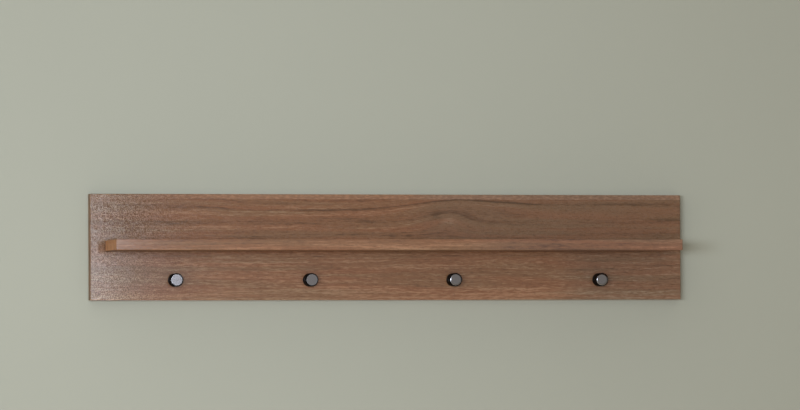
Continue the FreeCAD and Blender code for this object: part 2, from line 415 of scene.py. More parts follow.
# %% Stretched noise
def stretched(tree, place, per_metre, detail, roughness=0.5):
    """Noise at (x, y, z) times (features per metre along x, along y, along z)."""
    vector = add_node(tree, "ShaderNodeCombineXYZ")
    for value, count, socket in zip(place, per_metre, vector.inputs):
        join(tree, maths(tree, "MULTIPLY", value, count), socket)
    return noise(tree, vector.outputs[0], detail, roughness)


def sway(tree, place, per_metre, detail, roughness=0.5):
    """The same noise less a half, so that it lies about zero."""
    return maths(tree, "SUBTRACT", stretched(tree, place, per_metre, detail, roughness), 0.5)


print("stretched noise ready")

# %% [markdown]
# Walnut shows three things at once: broad soft bands where the saw crossed the growth rings,
# long streaks of colour, and short fine dashes and pores along the grain. All of them are noise
# that is stretched along the board. Bands and streaks read a height that can bend, so that
# bending it once bends the whole figure. The pattern is solid, worked out from X, Y and Z, so it
# runs over edges by itself, as in a real board. An image of wood would stretch and repeat there.

# %% Walnut grain group
REDDISH = (1.05, 0.97, 0.94, 1)
OLIVE = (0.95, 1.02, 1.03, 1)
BANDS_PER_METRE = (2.2, 30, 62)
STREAKS_ACROSS = (160, 280)
STREAK_DETAIL = 3.0
STREAK_ROUGHNESS = 0.6
DASHES_PER_METRE = (75, 320, 600)
PORES_PER_METRE = (160, 600, 720)
PORE_FROM = 0.10
PORE_TO = 0.20
HUES_PER_METRE = (3.5, 60, 95)
HUE_SPAN = 0.13


def make_walnut_grain():
    """Colour = dark, middle and light wood mixed by tone + bands + streaks + dashes, less pores.

    Bands and streaks read the bent height, dashes and pores the plain one, so they stay fine.
    """
    group, given, result = new_group("walnut_grain", [
        ("Along", FLOAT, 0.0), ("Depth", FLOAT, 0.0), ("Height", FLOAT, 0.0), ("Fine Height", FLOAT, 0.0),
        ("Tone", FLOAT, 0.0), ("Dark", COLOUR, None), ("Middle", COLOUR, None), ("Light", COLOUR, None),
        ("Band Strength", FLOAT, 0.5), ("Streak Strength", FLOAT, 0.5), ("Dash Strength", FLOAT, 0.5),
        ("Pore Strength", FLOAT, 0.5), ("Streaks Per Metre", FLOAT, 13.0)],
        [("Colour", COLOUR), ("Pores", FLOAT), ("Fibre", FLOAT)])
    bent = (given["Along"], given["Depth"], given["Height"])
    fine = (given["Along"], given["Depth"], given["Fine Height"])
    bands = sway(group, bent, BANDS_PER_METRE, detail=2.0)
    streaks_per_metre = (given["Streaks Per Metre"], *STREAKS_ACROSS)
    streaks = sway(group, bent, streaks_per_metre, STREAK_DETAIL, STREAK_ROUGHNESS)
    dashes = sway(group, fine, DASHES_PER_METRE, detail=1.0)
    pores = ramp(group, sway(group, fine, PORES_PER_METRE, detail=0.0), PORE_FROM, PORE_TO)
    tone = maths(group, "ADD", 0.5, given["Tone"])
    tone = maths(group, "MULTIPLY_ADD", bands, given["Band Strength"], tone)
    tone = maths(group, "MULTIPLY_ADD", streaks, given["Streak Strength"], tone)
    tone = maths(group, "MULTIPLY_ADD", dashes, given["Dash Strength"], tone)
    low = mix_colour(group, ramp(group, tone, 0.0, 0.5), given["Dark"], given["Middle"])
    colour = mix_colour(group, ramp(group, tone, 0.5, 1.0), low, given["Light"])
    hue = ramp(group, sway(group, bent, HUES_PER_METRE, detail=1.0), -HUE_SPAN, HUE_SPAN)
    colour = mix_colour(group, 1.0, colour, mix_colour(group, hue, REDDISH, OLIVE), "MULTIPLY")
    pore_mask = maths(group, "MULTIPLY", pores, given["Pore Strength"])
    join(group, mix_colour(group, pore_mask, colour, given["Dark"]), result["Colour"])
    join(group, pore_mask, result["Pores"])
    join(group, maths(group, "ADD", streaks, dashes), result["Fibre"])
    return group


walnut_grain = make_walnut_grain()
print("group", walnut_grain.name, "of", len(walnut_grain.nodes), "nodes")

# %% [markdown]
# The glare at the left end isn't smooth: it breaks into specks, because the lacquer lies thin on
# open pores. A clear coat whose weight changes from speck to speck does that, and the same mask
# can darken the pores. The noise is turned askew, or its rows would line up with the board. The
# same group serves the board, where the specks are strong, and the ledge, where they are faint.

# %% Lacquer group
SPECK_AXIS = (0.35, 0.90, 0.26)
SPECK_TURN = 0.65
SPECK_FROM = 0.43
SPECK_TO = 0.57


def scaled(tree, vector, scale):
    """A vector times a number."""
    node = add_node(tree, "ShaderNodeVectorMath", operation="SCALE")
    join(tree, vector, node.inputs[0])
    join(tree, scale, node.inputs["Scale"])
    return node.outputs[0]


def make_thin_lacquer():
    """Weight = full x (1 - depth x speck): how much the clear coat shines from speck to speck."""
    group, given, result = new_group("thin_lacquer", [
        ("Position", VECTOR, None), ("Specks Per Metre", FLOAT, 400.0), ("Speck Depth", FLOAT, 0.5),
        ("Full", FLOAT, 1.0)], [("Weight", FLOAT), ("Speck", FLOAT)])
    turned = add_node(group, "ShaderNodeVectorRotate", rotation_type="AXIS_ANGLE")
    join(group, scaled(group, given["Position"], given["Specks Per Metre"]), turned.inputs["Vector"])
    turned.inputs["Axis"].default_value = SPECK_AXIS
    turned.inputs["Angle"].default_value = SPECK_TURN
    speck = ramp(group, noise(group, turned.outputs[0], detail=0.0), SPECK_FROM, SPECK_TO)
    share = maths(group, "SUBTRACT", 1.0, maths(group, "MULTIPLY", speck, given["Speck Depth"]))
    join(group, maths(group, "MULTIPLY", share, given["Full"]), result["Weight"])
    join(group, speck, result["Speck"])
    return group


thin_lacquer = make_thin_lacquer()
print("group", thin_lacquer.name, "of", len(thin_lacquer.nodes), "nodes")

# %% [markdown]
# Sawn ends drink more lacquer and shine less, and they show the growth rings as short upright
# lines. Painting them as a second material would need their faces picked by hand. This group
# finds them by the direction that the surface faces, so it also fades over the rounded edge.

# %% End grain group
END_FROM = 0.80
END_TO = 0.98
RINGS_PER_METRE = (1.0, 260.0, 30.0)
RING_FROM = 0.35
RING_TO = 0.68


def make_end_grain():
    """End = 1 where the normal points along the board; Rings = noise stretched upright."""
    group, given, result = new_group("end_grain", [
        ("Facing", VECTOR, None), ("Depth", FLOAT, 0.0), ("Height", FLOAT, 0.0)],
        [("End", FLOAT), ("Rings", FLOAT)])
    along = maths(group, "ABSOLUTE", split(group, given["Facing"])["X"])
    join(group, ramp(group, along, END_FROM, END_TO), result["End"])
    rings = stretched(group, (0.0, given["Depth"], given["Height"]), RINGS_PER_METRE, detail=2.0)
    join(group, ramp(group, rings, RING_FROM, RING_TO), result["Rings"])
    return group


end_grain = make_end_grain()
print("group", end_grain.name, "of", len(end_grain.nodes), "nodes")

# %% [markdown]
# ## The backboard
# The figure of this board is a low arch right of the middle, where a branch once began. The
# growth lines rise over it: steeply near its foot, and in a slow wave above that settles a
# little higher on its right than on its left. Both lifts are bell curves along the board, and
# the height blends from one to the other.

# %% Arch in the backboard's figure
ARCH_X = 0.104
FOOT_LIFT = 0.0175
FOOT_LEFT_REACH = 0.060
FOOT_RIGHT_REACH = 0.036
CREST_X = 0.125
CREST_LIFT = 0.008
CREST_REACH = 0.080
CREST_STEP = 0.010
CREST_STEP_SPAN = 0.10
LEFT_LIFT = 0.008
LEFT_LIFT_FROM = -0.16
LEFT_LIFT_TO = -0.42
ARCH_FOOT = 0.012
ARCH_SHOULDER = 0.046
ARCH_CREST = 0.068


def arch_lift(tree, x, z):
    """The foot's bell low down, blended into the crest's bell and step higher up."""
    right_side = maths(tree, "GREATER_THAN", x, ARCH_X)
    reach = maths(tree, "MULTIPLY_ADD", right_side, FOOT_RIGHT_REACH - FOOT_LEFT_REACH, FOOT_LEFT_REACH)
    rise = ramp(tree, z, ARCH_FOOT, ARCH_SHOULDER, 0.0, FOOT_LIFT)
    foot = maths(tree, "MULTIPLY", bell(tree, x, ARCH_X, reach), rise)
    step = ramp(tree, x, -CREST_STEP_SPAN, CREST_STEP_SPAN, 0.0, CREST_STEP)
    crest = maths(tree, "MULTIPLY_ADD", bell(tree, x, CREST_X, CREST_REACH), CREST_LIFT, step)
    crest = maths(tree, "ADD", crest, ramp(tree, x, LEFT_LIFT_FROM, LEFT_LIFT_TO, 0.0, LEFT_LIFT))
    return mix_value(tree, ramp(tree, z, ARCH_SHOULDER, ARCH_CREST), foot, crest)


print("the arch lifts the figure by up to", FOOT_LIFT / MM, "mm")

# %% [markdown]
# No line in wood is quite straight. Slow wander bends the whole figure by a few millimetres, and
# a quick ripple shakes the lines a little. Both are added to the height before anything is drawn
# with it. The wander reads one slice of its noise, so that it stays the same through the board.

# %% Bent height of the backboard
WANDER = 0.006
WANDERS_PER_METRE = (3.0, 1.0, 8.0)
WANDER_SLICE = 0.3
RIPPLE = 0.0045
RIPPLES_PER_METRE = (15.0, 1.0, 40.0)

material, tree, shader, place = new_material("walnut_board")
x, y, z = split(tree, place)
wander = sway(tree, (x, WANDER_SLICE, z), WANDERS_PER_METRE, detail=2.0)
height = maths(tree, "SUBTRACT", z, arch_lift(tree, x, z))
height = maths(tree, "MULTIPLY_ADD", wander, WANDER, height)
ripple = maths(tree, "MULTIPLY", sway(tree, (x, y, z), RIPPLES_PER_METRE, detail=1.0), RIPPLE)
height = maths(tree, "ADD", height, ripple)
print("the figure wanders by", WANDER / MM, "mm and ripples by", RIPPLE / MM, "mm")

# %% [markdown]
# Growth lines are listed as level, half width and strength, in millimetres above the board's
# middle. A strength below zero is a light band. Each is a bell curve over the bent height, so it
# follows the arch. Some stretches of a line fade, as real ones do, but the arch always holds,
# and all of them are fainter towards the right end.

# %% Growth lines of the backboard
GROWTH_LINES = ((75, 4.5, 0.22), (66, 2.5, -0.12), (60.5, 1.4, 0.42), (53, 4.0, -0.12), (41, 3.0, 0.22),
                (30, 5.0, -0.08), (16.5, 1.2, 0.12), (-14, 1.2, 0.08), (-24, 3.0, -0.06))
FADES_PER_METRE = (5.0, 1.0, 30.0)
FADE_FROM = 0.32
FADE_TO = 0.60
FADED_SHARE = 0.20
ARCH_HELD = 0.045
RIGHT_FADE_FROM = 0.20
RIGHT_FADE_TO = 0.35
RIGHT_FADED_SHARE = 0.45

fade = stretched(tree, (x, y, z), FADES_PER_METRE, detail=1.0)
fade = ramp(tree, fade, FADE_FROM, FADE_TO, FADED_SHARE, 1.0)
fade = maths(tree, "MAXIMUM", fade, bell(tree, x, ARCH_X, ARCH_HELD))
right_fade = ramp(tree, x, RIGHT_FADE_FROM, RIGHT_FADE_TO, 1.0, RIGHT_FADED_SHARE)
fade = maths(tree, "MULTIPLY", fade, right_fade)
lines = 0.0
for level, half_width, strength in GROWTH_LINES:
    lines = maths(tree, "MULTIPLY_ADD", bell(tree, height, level * MM, half_width * MM), strength, lines)
tone = maths(tree, "MULTIPLY", maths(tree, "MULTIPLY", lines, fade), -1.0)
print(len(GROWTH_LINES), "growth lines")

# %% [markdown]
# Patches are soft spots at a place along and up the board: the pale eye of the arch, the dark
# hook at its foot, darker spots beside the arch and at the right end, and a dark band just under
# the ledge left of the middle, which is painted shadow of the ledge. The wood is lighter towards
# its lower edge and darker right of the arch. The step between them hides behind the ledge.

# %% Patches and levels of the backboard
# The fourth patch, a dark band just under the ledge, is painted shadow.
PATCHES = ((103, 40, 17, 8, 0.34), (79, 52, 9, 7, -0.24), (131, 51, 10, 6, -0.10),
           (-335, -15, 42, 3.5, -0.22), (475, 45, 25, 3, -0.24), (478, -30, 24, 4, -0.14))
BEHIND_LEDGE = 0.01
LOWER_LIFT = 0.113
BOTTOM_LIFT = 0.16
BOTTOM_FROM = -0.055
RIGHT_DROP = 0.11
DARK_FROM_BELOW = 0.27
DARK_FROM_ABOVE = 0.02
DARK_SPAN = 0.08

tone = maths(tree, "ADD", tone, ramp(tree, z, BEHIND_LEDGE, -BEHIND_LEDGE, 0.0, LOWER_LIFT))
tone = maths(tree, "ADD", tone, ramp(tree, z, BOTTOM_FROM, board_low.z, 0.0, BOTTOM_LIFT))
for along, up, half_width, half_height, lift in PATCHES:
    patch_along = bell(tree, x, along * MM, half_width * MM)
    patch = maths(tree, "MULTIPLY", patch_along, bell(tree, z, up * MM, half_height * MM))
    tone = maths(tree, "MULTIPLY_ADD", patch, lift, tone)
dark_from = ramp(tree, z, -BEHIND_LEDGE, BEHIND_LEDGE, DARK_FROM_BELOW, DARK_FROM_ABOVE)
darker = ramp(tree, maths(tree, "SUBTRACT", x, dark_from), 0.0, DARK_SPAN, 0.0, RIGHT_DROP)
tone = maths(tree, "SUBTRACT", tone, darker)
print(len(PATCHES), "patches")

# %% [markdown]
# The grain group now draws the wood from that height and tone. Right of the arch, above the
# ledge, and at the far left the real board is calmer, so streaks and dashes are weaker there.
# A group's strengths can be wired as well as typed, and that is how one board holds both.

# %% Grain of the backboard
BOARD_DARK = (0.090, 0.036, 0.012, 1)
BOARD_MIDDLE = (0.190, 0.0835, 0.0360, 1)
BOARD_LIGHT = (0.292, 0.160, 0.084, 1)
BOARD_BANDS = 0.62
BOARD_PORES = 0.34
BOARD_STREAKS_PER_METRE = 6.5
STREAKS_LIVELY = 1.15
STREAKS_CALM = 0.48
DASHES_LIVELY = 1.05
DASHES_CALM = 0.68
DASHES_ABOVE_SHARE = 0.72
CALM_FROM = 0.02
CALM_TO = 0.10
CALM_LEFT_FROM = -0.36
CALM_LEFT_TO = -0.46

above = ramp(tree, z, -BEHIND_LEDGE, BEHIND_LEDGE)
calm = maths(tree, "MULTIPLY", ramp(tree, x, CALM_FROM, CALM_TO), above)
calm = maths(tree, "MAXIMUM", calm, ramp(tree, x, CALM_LEFT_FROM, CALM_LEFT_TO))
dashes = ramp(tree, calm, 0.0, 1.0, DASHES_LIVELY, DASHES_CALM)
dashes = maths(tree, "MULTIPLY", dashes, ramp(tree, z, -BEHIND_LEDGE, BEHIND_LEDGE, 1.0, DASHES_ABOVE_SHARE))
grain = use_group(
    tree, walnut_grain, Along=x, Depth=y, Height=height, Fine_Height=maths(tree, "ADD", z, ripple),
    Tone=tone, Dark=BOARD_DARK, Middle=BOARD_MIDDLE, Light=BOARD_LIGHT, Band_Strength=BOARD_BANDS,
    Streak_Strength=ramp(tree, calm, 0.0, 1.0, STREAKS_LIVELY, STREAKS_CALM), Dash_Strength=dashes,
    Pore_Strength=BOARD_PORES, Streaks_Per_Metre=BOARD_STREAKS_PER_METRE)
print("backboard grain of", BOARD_STREAKS_PER_METRE, "streaks a metre")

# %% [markdown]
# A lighter strip with pale flecks runs along the top edge, where the board holds a little
# sapwood. Its lower border is ragged, so it is a soft step at a height that noise moves up and
# down. Its right part differs a little in hue from its middle. At its left end a cool tint is
# painted sheen: the colour of the lamp's glare there. Both are multiplied in, after the strip,
# because they change the strip too.

# %% Top strip, hue tint and painted sheen
STRIP_WIDTH = 9.3 * MM
STRIP_RAGGED = 3.0 * MM
STRIP_SOFT = 0.6 * MM
STRIP_SHARE = 0.60
STRIP_COLOUR = (0.232, 0.116, 0.063, 1)
FLECK_COLOUR = (0.360, 0.186, 0.100, 1)
RAGS_PER_METRE = (90.0, 1.0, 400.0)
FLECKS_PER_METRE = (120.0, 1.0, 480.0)
FLECK_FROM = 0.42
FLECK_TO = 0.66
RIGHT_TINT = (0.93, 1.05, 1.21, 1)
PAINTED_SHEEN_TINT = (0.99, 1.14, 1.08, 1)
PAINTED_SHEEN_FROM = -0.38
PAINTED_SHEEN_TO = -0.46


def tinted(tree, share, colour, tint):
    """The colour multiplied by a tint, as far as the share says."""
    return mix_colour(tree, share, colour, mix_colour(tree, 1.0, colour, tint, "MULTIPLY"))


rags = stretched(tree, (x, y, z), RAGS_PER_METRE, detail=2.0)
border = maths(tree, "MULTIPLY_ADD", rags, STRIP_RAGGED, board_high.z - STRIP_WIDTH)
in_strip = ramp(tree, maths(tree, "SUBTRACT", z, border), -STRIP_SOFT, STRIP_SOFT, 0.0, STRIP_SHARE)
flecks = ramp(tree, stretched(tree, (x, y, z), FLECKS_PER_METRE, detail=1.0), FLECK_FROM, FLECK_TO)
strip = mix_colour(tree, flecks, STRIP_COLOUR, FLECK_COLOUR)
colour = mix_colour(tree, in_strip, grain["Colour"], strip)
colour = tinted(tree, maths(tree, "DIVIDE", darker, RIGHT_DROP), colour, RIGHT_TINT)
# The cool tint at the left end is painted sheen: the colour of the lamp's glare there.
colour = tinted(tree, ramp(tree, x, PAINTED_SHEEN_FROM, PAINTED_SHEEN_TO), colour, PAINTED_SHEEN_TINT)
print("strip of", STRIP_WIDTH / MM, "mm along the top edge")

# %% [markdown]
# Two small tools finish a material. A bump tilts the normals where a real relief would be finer
# than a pixel, and costs no faces. The other lays a material on pieces of the construction,
# whose meshes stay as they are.

# %% Bump and material on a piece
def add_bump(tree, shader, height, strength, distance):
    """Tilts the shader's normal as if the surface rose by height x distance."""
    bump = add_node(tree, "ShaderNodeBump")
    bump.inputs["Strength"].default_value = strength
    bump.inputs["Distance"].default_value = distance
    join(tree, height, bump.inputs["Height"])
    join(tree, bump.outputs["Normal"], shader.inputs["Normal"])


def give(material, names):
    """Puts one material on each named CAD piece."""
    for name in names:
        mesh = nodes[name].data
        mesh.materials.clear()
        mesh.materials.append(material)
    print(material.name, "on", len(names), "pieces")


print("bump ready")

# %% [markdown]
# Last come the sawn ends and the lacquer. The lacquer is thicker low on the board, and its specks
# are deeper high up. The same specks darken the pores a little everywhere, and much more near the
# left end, where that darkening is painted shade that deepens the speckle of the lamp's glare.
# Coat roughness and index stay plain values, so the whole board is one lacquer, and only its
# weight changes. A slight bump lets the fibres break up the shine.

# %% Ends and lacquer of the backboard
BOARD_END = (0.120, 0.075, 0.048, 1)
END_SHARE = 0.80
COAT_BELOW = 0.82
COAT_ABOVE = 0.72
COAT_SPAN = 0.06
BOARD_SPECKS_PER_METRE = 760.0
SPECK_DEPTH_BELOW = 0.76
SPECK_DEPTH_FROM = -0.06
SPECK_DEPTH_TO = 0.03
PAINTED_SPECK_SHADE_FROM = -0.27
PAINTED_SPECK_SHADE_TO = -0.46
PORE_DARKENING = 0.10
PAINTED_SPECK_SHADE_LEFT = 0.85
GRAIN_RELIEF = 0.2 * MM

facing = add_node(tree, "ShaderNodeTexCoord").outputs["Normal"]
end = use_group(tree, end_grain, Facing=facing, Depth=y, Height=z)
end_share = maths(tree, "MULTIPLY", end["End"], END_SHARE)
coat = ramp(tree, z, -COAT_SPAN, COAT_SPAN, COAT_BELOW, COAT_ABOVE)
coat = maths(tree, "MULTIPLY", coat, maths(tree, "SUBTRACT", 1.0, end_share))
speck_depth = ramp(tree, z, SPECK_DEPTH_FROM, SPECK_DEPTH_TO, SPECK_DEPTH_BELOW, 1.0)
lacquer = use_group(tree, thin_lacquer, Position=place, Specks_Per_Metre=BOARD_SPECKS_PER_METRE,
                    Speck_Depth=speck_depth, Full=coat)
# Near the left end the pores are darkened far more: painted shade that deepens the glare's speckle.
pore_and_painted_shade = ramp(tree, x, PAINTED_SPECK_SHADE_FROM, PAINTED_SPECK_SHADE_TO, PORE_DARKENING, PAINTED_SPECK_SHADE_LEFT)
colour = mix_colour(tree, maths(tree, "MULTIPLY", lacquer["Speck"], pore_and_painted_shade), colour, BOARD_DARK)
sawn_and_painted_light = mix_colour(tree, end["Rings"], BOARD_END, BOARD_LIGHT)
join(tree, mix_colour(tree, end_share, colour, sawn_and_painted_light), shader.inputs["Base Color"])
join(tree, lacquer["Weight"], shader.inputs["Coat Weight"])
set_plain(shader, Coat_Roughness=0.16, Coat_IOR=1.57, Specular_IOR_Level=0.20, Roughness=0.6)
relief = maths(tree, "SUBTRACT", grain["Fibre"], grain["Pores"])
add_bump(tree, shader, relief, strength=0.25, distance=GRAIN_RELIEF)
give(material, ["backboard"])

# %% [markdown]
# ## The ledge
# The ledge is cut from another board, so its figure must not run on from the backboard's. Read
# at the same place, the grain group would draw the same board again. So it reads a place far
# away in the pattern, and the height there wanders by itself.

# %% Place of the ledge's pattern
LEDGE_SHIFT = (3.17, 0.71, 0.43)
LEDGE_WANDER = 0.010
LEDGE_WANDERS_PER_METRE = (2.0, 1.0, 6.0)

material, tree, shader, place = new_material("walnut_ledge")
along_ledge = split(tree, place)["X"]
moved = add_node(tree, "ShaderNodeVectorMath", operation="ADD")
join(tree, place, moved.inputs[0])
moved.inputs[1].default_value = LEDGE_SHIFT
x, y, z = split(tree, moved.outputs[0])
wander = sway(tree, (x, WANDER_SLICE, z), LEDGE_WANDERS_PER_METRE, detail=2.0)
height = maths(tree, "MULTIPLY_ADD", wander, LEDGE_WANDER, z)
print("ledge grain read", LEDGE_SHIFT, "m away")

# %% [markdown]
# One stretch of the ledge is darker, its right end is pale again, and the right half is a little
# cooler in hue. It has no arch and no growth lines, so the grain group alone draws its figure.

# %% Grain of the ledge
LEDGE_DARK = (0.085, 0.042, 0.024, 1)
LEDGE_MIDDLE = (0.183, 0.087, 0.0415, 1)
LEDGE_LIGHT = (0.305, 0.158, 0.084, 1)
LEDGE_BANDS = 0.60
LEDGE_STREAKS = 1.05
LEDGE_STREAKS_PER_METRE = 7.0
LEDGE_DASHES = 0.72
LEDGE_PORES = 0.25
LEDGE_DARK_X = 0.28
LEDGE_DARK_REACH = 0.10
LEDGE_DARK_DROP = 0.22
LEDGE_PALE_FROM = 0.41
LEDGE_PALE_TO = 0.46
LEDGE_PALE_LIFT = 0.14
COOLER_FROM = 0.08
COOLER_TO = 0.20
LEDGE_RIGHT_TINT = (0.99, 1.01, 1.14, 1)

dark_stretch = bell(tree, along_ledge, LEDGE_DARK_X, LEDGE_DARK_REACH)
tone = maths(tree, "MULTIPLY", dark_stretch, -LEDGE_DARK_DROP)
tone = maths(tree, "ADD", tone, ramp(tree, along_ledge, LEDGE_PALE_FROM, LEDGE_PALE_TO, 0.0, LEDGE_PALE_LIFT))
grain = use_group(
    tree, walnut_grain, Along=x, Depth=y, Height=height, Fine_Height=z, Tone=tone, Dark=LEDGE_DARK,
    Middle=LEDGE_MIDDLE, Light=LEDGE_LIGHT, Band_Strength=LEDGE_BANDS, Streak_Strength=LEDGE_STREAKS,
    Dash_Strength=LEDGE_DASHES, Pore_Strength=LEDGE_PORES, Streaks_Per_Metre=LEDGE_STREAKS_PER_METRE)
cooler = ramp(tree, along_ledge, COOLER_FROM, COOLER_TO)
colour = tinted(tree, cooler, grain["Colour"], LEDGE_RIGHT_TINT)
print("ledge grain of", LEDGE_STREAKS_PER_METRE, "streaks a metre")

# %% [markdown]
# The ledge's sawn ends are redder than its front, and lighter too; part of that lightness is
# painted light, for the lamps that fall on the end that faces left. They and its underside have
# hardly any shine, because little lacquer reaches them, so the coat is thinned where the surface
# faces along the board or down.

# %% Ends and lacquer of the ledge
LEDGE_END_AND_PAINTED_LIGHT = (0.428, 0.200, 0.083, 1)
LEDGE_END_RINGS_AND_PAINTED_LIGHT = (0.220, 0.102, 0.044, 1)
LEDGE_COAT = 0.55
LEDGE_COAT_LOST = 0.50
DOWN_FROM = -0.5
DOWN_TO = -0.9
LEDGE_SPECKS_PER_METRE = 330.0
LEDGE_SPECK_DEPTH = 0.35

facing = add_node(tree, "ShaderNodeTexCoord").outputs["Normal"]
end = use_group(tree, end_grain, Facing=facing, Depth=y, Height=z)
# The ends' colour is lighter than the front partly as painted light: the light that falls on the left-facing
# end.
sawn_and_painted_light = mix_colour(tree, end["Rings"], LEDGE_END_AND_PAINTED_LIGHT, LEDGE_END_RINGS_AND_PAINTED_LIGHT)
join(tree, mix_colour(tree, end["End"], colour, sawn_and_painted_light), shader.inputs["Base Color"])
below = ramp(tree, split(tree, facing)["Z"], DOWN_FROM, DOWN_TO)
lost = maths(tree, "MULTIPLY", maths(tree, "MAXIMUM", end["End"], below), LEDGE_COAT_LOST)
lacquer = use_group(tree, thin_lacquer, Position=place, Specks_Per_Metre=LEDGE_SPECKS_PER_METRE,
                    Speck_Depth=LEDGE_SPECK_DEPTH, Full=maths(tree, "SUBTRACT", LEDGE_COAT, lost))
join(tree, lacquer["Weight"], shader.inputs["Coat Weight"])
set_plain(shader, Coat_Roughness=0.15, Specular_IOR_Level=0.20, Roughness=0.6)
relief = maths(tree, "SUBTRACT", grain["Fibre"], grain["Pores"])
add_bump(tree, shader, relief, strength=0.20, distance=GRAIN_RELIEF)
give(material, ["ledge"])

# %% [markdown]
# ## Turned pieces
# Pegs, screws and dowels are all turned: a ring of points that changes its distance from the
# axis from row to row. Blender's Spin tool or a Screw modifier could turn a profile, but both
# give round rings only. Here numpy works out all points at once from two tables, one row to each
# ring and one column to each angle, so a radius that depends on the angle gives flutes, sockets
# and threads.

# %% Tables of rings
def rows_of(pairs, columns):
    """Two tables from (along, radius) pairs in millimetres; a radius may be an array of angles."""
    along = np.array([np.full(columns, pair[0], dtype=float) for pair in pairs])
    radius = np.array([np.broadcast_to(np.asarray(pair[1], dtype=float), (columns,)) for pair in pairs])
    return along * MM, radius * MM


def round_sizes(name):
    """Length and radius of a round CAD piece, in millimetres."""
    low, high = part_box(name)
    return (high.y - low.y) / MM, (high.x - low.x) / 2 / MM


print("radius of", peg_names[0], round(round_sizes(peg_names[0])[1], 3), "mm")

# %% [markdown]
# A face is a row of point numbers. Neighbouring rings share their points, and the first and the
# last ring shrink to one point each, so the surface is closed. Which way its faces look depends
# on which way the profile runs, and the numbers don't show that at a glance. The volume does: it
# comes out below zero where the faces look inwards.

# %% Faces between rings
def ring_faces(rows, columns):
    """Triangles to the first point, four-sided faces between rings, triangles to the last point.

    Point 0 is the first, and ring r's column c is point 1 + columns x r + c, with r from 0.
    """
    here = np.arange(columns)
    after = (here + 1) % columns
    start = 1 + columns * np.arange(rows - 3)[:, None]
    quads = np.stack([start + here, start + after, start + columns + after, start + columns + here], axis=-1)
    last = 1 + columns * (rows - 2)
    first_fan = np.stack([np.zeros_like(here), 1 + after, 1 + here], axis=-1)
    last_fan = np.stack([np.full_like(here, last), last - columns + here, last - columns + after], axis=-1)
    return first_fan, quads.reshape(-1, 4), last_fan


def signed_volume(points, first_fan, quads, last_fan):
    """A sixth of the sum of a . (b x c) over all triangles: below zero when they point inwards."""
    triangles = np.vstack([first_fan, quads[:, :3], quads[:, [0, 2, 3]], last_fan])
    a, b, c = (points[triangles[:, k]] - points[0] for k in range(3))
    return float(np.einsum("ij,ij->", a, np.cross(b, c)) / 6)


print("4 rows of 8 points give", sum(len(faces) for faces in ring_faces(4, 8)), "faces")

# %% [markdown]
# The two tables become a mesh in one go, and faces that look inwards are flipped. Corners sharper
# than a set angle stay sharp, and the rest is shaded smooth. An attribute keeps how far each row
# lies along the profile, because a finish can then tell the face of a peg from its side.

# %% Ring surface
SHARP_ANGLE = math.radians(32)


def ring_surface(name, along, radius, centre):
    """Point = centre + (radius cos a, along, radius sin a), with a from 0 to a full turn.

    The first and last rows close to one point each. "profile_mm" holds how far each row lies
    along the profile from the first, in millimetres.
    """
    columns = radius.shape[1]
    angle = np.linspace(0, 2 * np.pi, columns, endpoint=False)
    grid = np.stack([radius * np.cos(angle), along, radius * np.sin(angle)], axis=-1) + np.array(centre)
    middle = grid[1:-1].reshape(-1, 3)
    points = np.vstack([grid[0].mean(axis=0), middle, grid[-1].mean(axis=0)])
    travel = np.hypot(np.diff(along.mean(axis=1)), np.diff(radius.mean(axis=1)))
    travel = np.concatenate([[0], np.cumsum(travel)]) / MM
    first_fan, quads, last_fan = ring_faces(len(radius), columns)
    faces = [*first_fan.tolist(), *quads.tolist(), *last_fan.tolist()]
    mesh = bpy.data.meshes.new(name)
    mesh.from_pydata(points.tolist(), [], faces)
    if signed_volume(points, first_fan, quads, last_fan) < 0:
        mesh.flip_normals()
    mesh.polygons.foreach_set("use_smooth", np.ones(len(faces), dtype=bool))
    mesh.set_sharp_from_angle(angle=SHARP_ANGLE)
    profile = mesh.attributes.new("profile_mm", "FLOAT", "POINT")
    values = np.concatenate([travel[:1], np.repeat(travel[1:-1], columns), travel[-1:]])
    profile.data.foreach_set("value", values.astype(np.float32))
    mesh.update()
    piece = bpy.data.objects.new(name, mesh)
    bpy.context.scene.collection.objects.link(piece)
    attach(piece, "root")
    return piece


print("ring surface ready, sharp from", round(math.degrees(SHARP_ANGLE)), "degrees")

# %% [markdown]
# The construction holds each of these pieces as a plain solid. The turned piece takes its place
# and its axis from that solid's box, and then stands in for it, so no two lie in one place.

# %% Turned piece in a solid's stead
def turned_piece(name, ending, pairs, columns):
    """The pairs turned about a CAD piece's axis, from its back end, in that piece's stead."""
    low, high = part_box(name)
    centre = ((low.x + high.x) / 2, high.y, (low.z + high.z) / 2)
    along, radius = rows_of(pairs, columns)
    piece = ring_surface(name + ending, along, radius, centre)
    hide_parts(name)
    return piece


peg_low, peg_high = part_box(peg_names[0])
print("the pegs' axes lie at a height of", round((peg_low.z + peg_high.z) / 2, 4), "m")

# %% [markdown]
# ## Threads
# A thread is a ridge that climbs one pitch with each turn. At a distance s along the axis and an
# angle a, the ridge's phase is s / pitch - a / full turn. A triangle wave of that phase, from
# crest to root, cuts the groove. The crest keeps the construction's own size, so the thread
# fits inside the plain cylinder that stands for it there.

# %% Threads
THREAD_STEPS = 8


def thread_rows(start, end, crest, depth, pitch, columns):
    """Radius = crest - depth x triangle(s / pitch - a / full turn), eased out at both ends."""
    count = max(2, int(round(abs(end - start) / pitch * THREAD_STEPS)))
    along = np.linspace(start, end, count + 1)
    turn = np.arange(columns) / columns
    phase = along[:, None] / pitch - turn
    wave = 1 - np.abs(2 * (phase - np.floor(phase)) - 1)
    away = np.minimum(np.abs(along - start), np.abs(along - end)) / pitch
    ease = np.clip(away, 0, 1)[:, None]
    return list(zip(along, crest - depth * ease * wave))


print("a pitch has", THREAD_STEPS, "rows")

